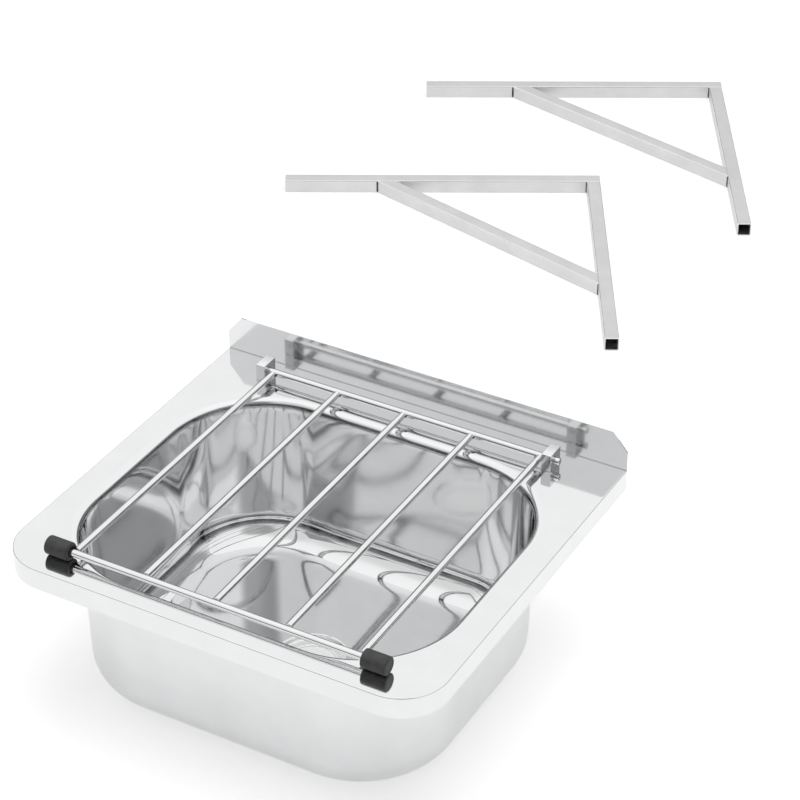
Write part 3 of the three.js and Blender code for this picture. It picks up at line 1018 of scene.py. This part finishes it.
def bracket_corner(name):
    """Where a bracket's outer corner lies on the floor, in sink millimetres.

    The outer corner is the arm's farthest point in y, and the leg's free end is its
    farthest point in x, a leg's length times sin(yaw) from the corner.
    """
    corner_x = sink_box(f"{name}_leg")[1][0] - LEG * math.sin(YAW)
    return corner_x, sink_box(f"{name}_arm")[1][1], -FLOOR_DROP


def square_ring(half, radius, steps=5):
    """A square with round corners as points across (y) and up (z), anticlockwise."""
    turn = np.linspace(0, math.pi / 2, steps + 1)
    angles = (np.arange(4)[:, None] * math.pi / 2 + turn).ravel()
    corners = np.array([[1, 1], [-1, 1], [-1, -1], [1, -1]]) * (half - radius)
    centres = np.repeat(corners, steps + 1, axis=0)
    return centres + radius * np.stack([np.cos(angles), np.sin(angles)], axis=1)


def tube(length, start_slope=0.0, end_slope=0.0):
    """A tube along +x from the origin, standing on z = 0, as a closed loop of rings.

    An end that is cut at a slope moves each point along x by the slope times its y.
    """
    outer = square_ring(TUBE / 2, OUTER_CORNER)
    inner = square_ring(TUBE / 2 - WALL_THICKNESS, INNER_CORNER)
    rings = [(s, outer) for s in TUBE_MARKS] + [(s, inner) for s in TUBE_MARKS[::-1]]
    rows = []
    for s, ring in rings:
        x = s * length + ring[:, 0] * (start_slope + s * (end_slope - start_slope))
        rows.append(np.column_stack([x, ring[:, 0], ring[:, 1] + TUBE / 2]))
    return np.array(rows)


# %% The three tubes of a bracket
RUN = math.hypot(BRACE_ON_ARM, BRACE_ON_LEG)
COS, SIN = BRACE_ON_ARM / RUN, BRACE_ON_LEG / RUN


def bracket_tubes():
    """Arm, leg and brace, in the bracket's frame.

    The brace's middle line meets the arm and the leg half a tube's slanted width short of
    the marks for its outer edge, and its ends are cut to lie on the two tubes.
    """
    half = TUBE / 2
    on_arm, on_leg = BRACE_ON_ARM - half / SIN, BRACE_ON_LEG - half / COS
    return {
        "arm": turn_and_move(tube(ARM), 0, -ARM, -half),
        "leg": turn_and_move(tube(LEG - TUBE), -math.pi / 2, -half, -TUBE),
        "brace": turn_and_move(
            tube(math.hypot(on_arm, on_leg), COS / SIN, -SIN / COS),
            -math.atan2(SIN, COS), -TUBE - on_arm, -TUBE),
    }


# %% [markdown]
# The welds show only in the inner corners, because the outer faces are ground flush. A
# bead is a short upright rod whose radius ripples, as the pool of a weld leaves it. Its
# very dark colour is partly the weld's own and partly painted shade in the inner corners.

# %% Weld beads in the corners
BEAD = {"radius": 1.3, "ripple": 0.15, "pitch": 2.1, "end_gap": 1.2, "bluntness": 14}
BEAD_ROWS, TIP_SHARE = 33, 0.02


def bead(x, y):
    """An upright bead, round at both ends: radius = R + ripple x sin(2 pi height / pitch)."""
    height = np.linspace(0, TUBE - 2 * BEAD["end_gap"], BEAD_ROWS)
    radius = BEAD["radius"] + BEAD["ripple"] * np.sin(2 * math.pi * height / BEAD["pitch"])
    from_middle = np.abs(2 * height / height[-1] - 1)
    radius *= np.sqrt(np.clip(1 - from_middle ** BEAD["bluntness"], TIP_SHARE, 1))
    profile = np.column_stack([height, radius])
    return turned([x, y, BEAD["end_gap"]], [0, 0, 1], profile, columns=16)


def bead_places():
    """Where two tubes meet at an inner corner: x and y in the bracket's frame."""
    on_arm, on_leg = BRACE_ON_ARM - TUBE / SIN, BRACE_ON_LEG - TUBE / COS
    inner = -TUBE
    return [
        (inner, inner), (inner - BRACE_ON_ARM, inner), (inner - on_arm, inner),
        (inner, inner - BRACE_ON_LEG), (inner, inner - on_leg)]


for name in ("bracket_near", "bracket_far"):
    corner = bracket_corner(name)
    for part, grid in bracket_tubes().items():
        skin = patch(turn_and_move(grid, YAW, *corner), loop=True)
        piece = round_edges(make_piece(f"{name}_{part}_tube", skin), ROUNDING["tube"])
        dress(piece, name, satin_tube, [f"{name}_{part}"])
    # The beads' dark colour is partly painted shade in the brackets' inner corners.
    beads = [patch(turn_and_move(bead(x, y), YAW, *corner), caps=True) for x, y in bead_places()]
    dress(make_piece(f"{name}_welds", *beads), name, weld_and_painted_shade)

# %% [markdown]
# ## The room
#
# The room is an even white studio, and its floor a plain pale plane that takes a soft
# shadow. Part of its brightness is its own, seen by the camera and by mirrors only, so it
# reads as white without throwing more light on the sink. That part fades under the
# outlet, where the bowl stands on the floor and shades it.

# %% Floor
FLOOR_REACH, FLOOR_GREY = 9.0, (0.75, 0.75, 0.75, 1)
GLOW_IN_MIRRORS, GLOW_TO_CAMERA = 0.35, 0.5
SHADE_DISTANCES, SHADE_LEVELS = (0.035, 0.09), (0.4, 1.0)
WHITE = (1, 1, 1, 1)


def vector_node(tree, operation, vector, fixed):
    """One Vector Math node between a socket and a fixed vector, which gives a number."""
    node = tree.nodes.new("ShaderNodeVectorMath")
    node.operation = operation
    node.inputs[1].default_value = fixed
    feed(tree, vector, node.inputs[0])
    return node.outputs["Value"]


def ray_kinds(tree):
    """The Light Path node, and a socket that is 1 for mirrored and for passing rays."""
    path = tree.nodes.new("ShaderNodeLightPath").outputs
    return path, math_node(tree, "MAXIMUM", path["Is Glossy Ray"], path["Is Transmission Ray"])


def make_floor():
    """A square plane, matt and pale, with a glow of its own."""
    mesh = bpy.data.meshes.new("floor")
    corner = np.array([[-1, -1, 0], [1, -1, 0], [1, 1, 0], [-1, 1, 0]]) * FLOOR_REACH
    mesh.from_pydata(corner.tolist(), [], [[0, 1, 2, 3]])
    piece = bpy.data.objects.new("floor", mesh)
    scene.collection.objects.link(piece)
    material, tree, surface = new_material("pale floor")
    surface.inputs["Base Color"].default_value = FLOOR_GREY
    surface.inputs["Roughness"].default_value = 0.9
    surface.inputs["Specular IOR Level"].default_value = 0.1
    surface.inputs["Emission Color"].default_value = WHITE
    path, mirrored = ray_kinds(tree)
    to_camera = math_node(tree, "MULTIPLY", path["Is Camera Ray"], GLOW_TO_CAMERA)
    in_mirrors = math_node(tree, "MULTIPLY", mirrored, GLOW_IN_MIRRORS)
    outlet = (*to_scene([0, CENTRE_Y, 0])[:2], 0)
    distance = vector_node(tree, "DISTANCE", coordinates(tree, "Object"), outlet)
    shade = range_node(tree, distance, SHADE_DISTANCES, SHADE_LEVELS, "SMOOTHSTEP")
    glow = math_node(tree, "MULTIPLY", math_node(tree, "ADD", in_mirrors, to_camera), shade)
    feed(tree, glow, surface.inputs["Emission Strength"])
    mesh.materials.append(material)


make_floor()


# %% [markdown]
# The world lights the sink evenly. A mirror shows more of the room than the camera does,
# and a mirror in an all white room looks like white plastic. So for mirrored rays the
# world is brightest overhead, has soft dark patches over the front, where a studio keeps
# its lamps off, and is dark all round near the horizon. Polished steel gets its deep greys
# and its crisp edges from them.
#
# Each entry of ROOM holds a direction, the dot products at which its patch starts and is
# full, and the level there. The last one points down: it starts 25 degrees above the
# horizon and is full at 15.

# %% World
ROOM = [
    ((0.00, 0.00, 1.00), (0.75, 0.95), 1.08),
    ((0.00, -0.82, 0.57), (0.80, 0.93), 0.80),
    ((0.50, -0.62, 0.60), (0.925, 0.98), 0.48),
    ((0.00, 0.00, -1.00), (-0.42, -0.26), 0.15),
]
LAMP_LEVEL = 0.55


def make_world():
    """White to the camera, dimmer as a lamp, and to mirrors the product of the patches.

    A patch is 1 far from its direction and its own level near it: a smooth step of the
    dot product of the two directions.
    """
    world = bpy.data.worlds.new("studio")
    world.use_nodes = True
    scene.world = world
    tree = world.node_tree
    back = tree.nodes["Background"]
    direction = coordinates(tree, "Generated")
    room = 1.0
    for axis, limits, level_there in ROOM:
        nearness = vector_node(tree, "DOT_PRODUCT", direction, Vector(axis).normalized())
        shade = range_node(tree, nearness, limits, (1.0, level_there), "SMOOTHSTEP")
        room = math_node(tree, "MULTIPLY", room, shade)
    path, mirrored = ray_kinds(tree)
    lamp = math_node(tree, "MULTIPLY", path["Is Diffuse Ray"], LAMP_LEVEL)
    shown = math_node(tree, "MULTIPLY", mirrored, room)
    total = math_node(tree, "ADD", math_node(tree, "ADD", lamp, shown), path["Is Camera Ray"])
    feed(tree, total, back.inputs["Strength"])
    back.inputs["Color"].default_value = WHITE


make_world()

# %% [markdown]
# One square soft box hangs overhead. Mirrors don't show its outline.

# %% Soft box
LAMP_AT, LAMP_AIM = Vector((0.3, -0.3, 3.0)), Vector((0.1, 0.0, 0.0))

soft_box = bpy.data.lights.new("overhead", "AREA")
soft_box.shape = "SQUARE"
soft_box.size = 2.6
soft_box.energy = 42
lamp = bpy.data.objects.new("overhead", soft_box)
lamp.location = LAMP_AT
lamp.rotation_euler = (LAMP_AIM - LAMP_AT).to_track_quat("-Z", "Y").to_euler()
lamp.visible_glossy = False
scene.collection.objects.link(lamp)

# %% [markdown]
# The camera was worked out from the straight edges of the deck: their directions in the
# photograph give its angle, and the deck's size gives its distance.

# %% Camera
AZIMUTH, ELEVATION = math.radians(29.34), math.radians(33.63)
CAMERA_AT = (1132.9, -1613.9, 1574.3)
FOCAL_PIXELS, SENSOR, PICTURE_WIDTH = 2566.7, 36, 800

lens = bpy.data.cameras.new("camera")
lens.sensor_width = SENSOR
lens.lens = FOCAL_PIXELS * SENSOR / PICTURE_WIDTH
lens.clip_end = 60
camera = bpy.data.objects.new("camera", lens)
camera.location = to_scene(CAMERA_AT)
camera.rotation_euler = (math.pi / 2 - ELEVATION, 0, AZIMUTH)
scene.collection.objects.link(camera)
scene.camera = camera
scene.view_settings.view_transform = "Standard"
